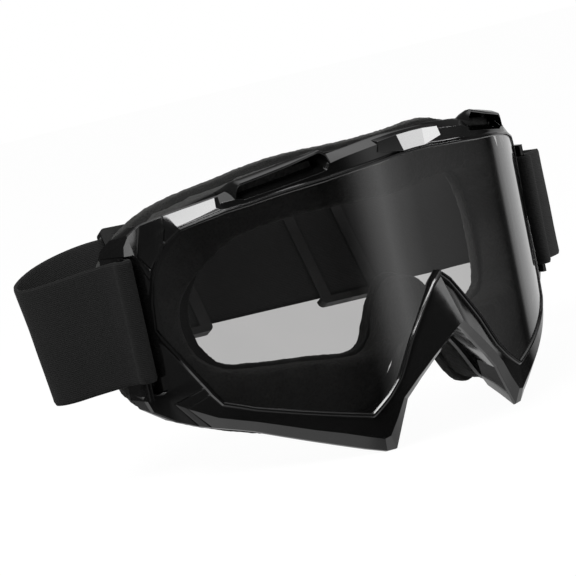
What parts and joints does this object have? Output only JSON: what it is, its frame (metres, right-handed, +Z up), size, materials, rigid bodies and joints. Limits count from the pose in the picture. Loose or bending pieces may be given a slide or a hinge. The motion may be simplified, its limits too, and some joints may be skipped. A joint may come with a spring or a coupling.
{
  "type": "motorcycle goggles",
  "caption": "Wrap-round off-road goggles with a tinted cylindrical lens, face foam and an elastic head strap with sliders.",
  "frame": {"origin": "on the mid-plane, at the middle of the lens side's front vertex line, level with the top of the nose notch", "axes": "+Z up as worn, -Y the way the goggles look, +Y towards the face, +X on the right seen from the front"},
  "size_m": [0.2088, 0.1191, 0.0985],
  "materials": {
    "frame": "gloss black moulded thermoplastic",
    "lens": "smoke-tinted clear polycarbonate",
    "foam": "open-cell foam, matte",
    "fleece": "brushed fleece",
    "filter": "coarse filter foam",
    "strap": "woven elastic webbing",
    "thread": "sewing thread",
    "slider": "satin moulded plastic"
  },
  "bodies": {
    "goggle_body": {"frame": "frame", "lens": "lens", "foam_core": "foam", "face_fleece": "fleece", "top_vent_hood_left": "frame", "top_vent_hood_right": "frame", "top_vent_filter_left": "filter", "top_vent_filter_right": "filter", "bottom_vent_filter_left": "filter", "bottom_vent_filter_right": "filter", "strap_end_left": "strap", "strap_end_right": "strap", "end_stitching_left": "thread", "end_stitching_right": "thread", "strap_left_run": "strap", "strap_right_run": "strap"},
    "strap_back": {"strap_back_run": "strap"},
    "slider_l": {"slider_left": "slider"},
    "slider_r": {"slider_right": "slider"}
  },
  "joints": [
    {"name": "strap_pull_back", "type": "slide", "parent": "goggle_body", "child": "strap_back", "axis": [0, 1, 0], "range_m": [0, 0.05], "deforming": ["strap_left_run", "strap_right_run"]},
    {"name": "slider_left_travel", "type": "slide", "parent": "strap_back", "child": "slider_l", "axis": [0.9979, 0, -0.0655], "range_m": [0, 0.02]},
    {"name": "slider_right_travel", "type": "slide", "parent": "strap_back", "child": "slider_r", "axis": [0.9979, 0, -0.0655], "range_m": [-0.016, 0.026]}
  ]
}
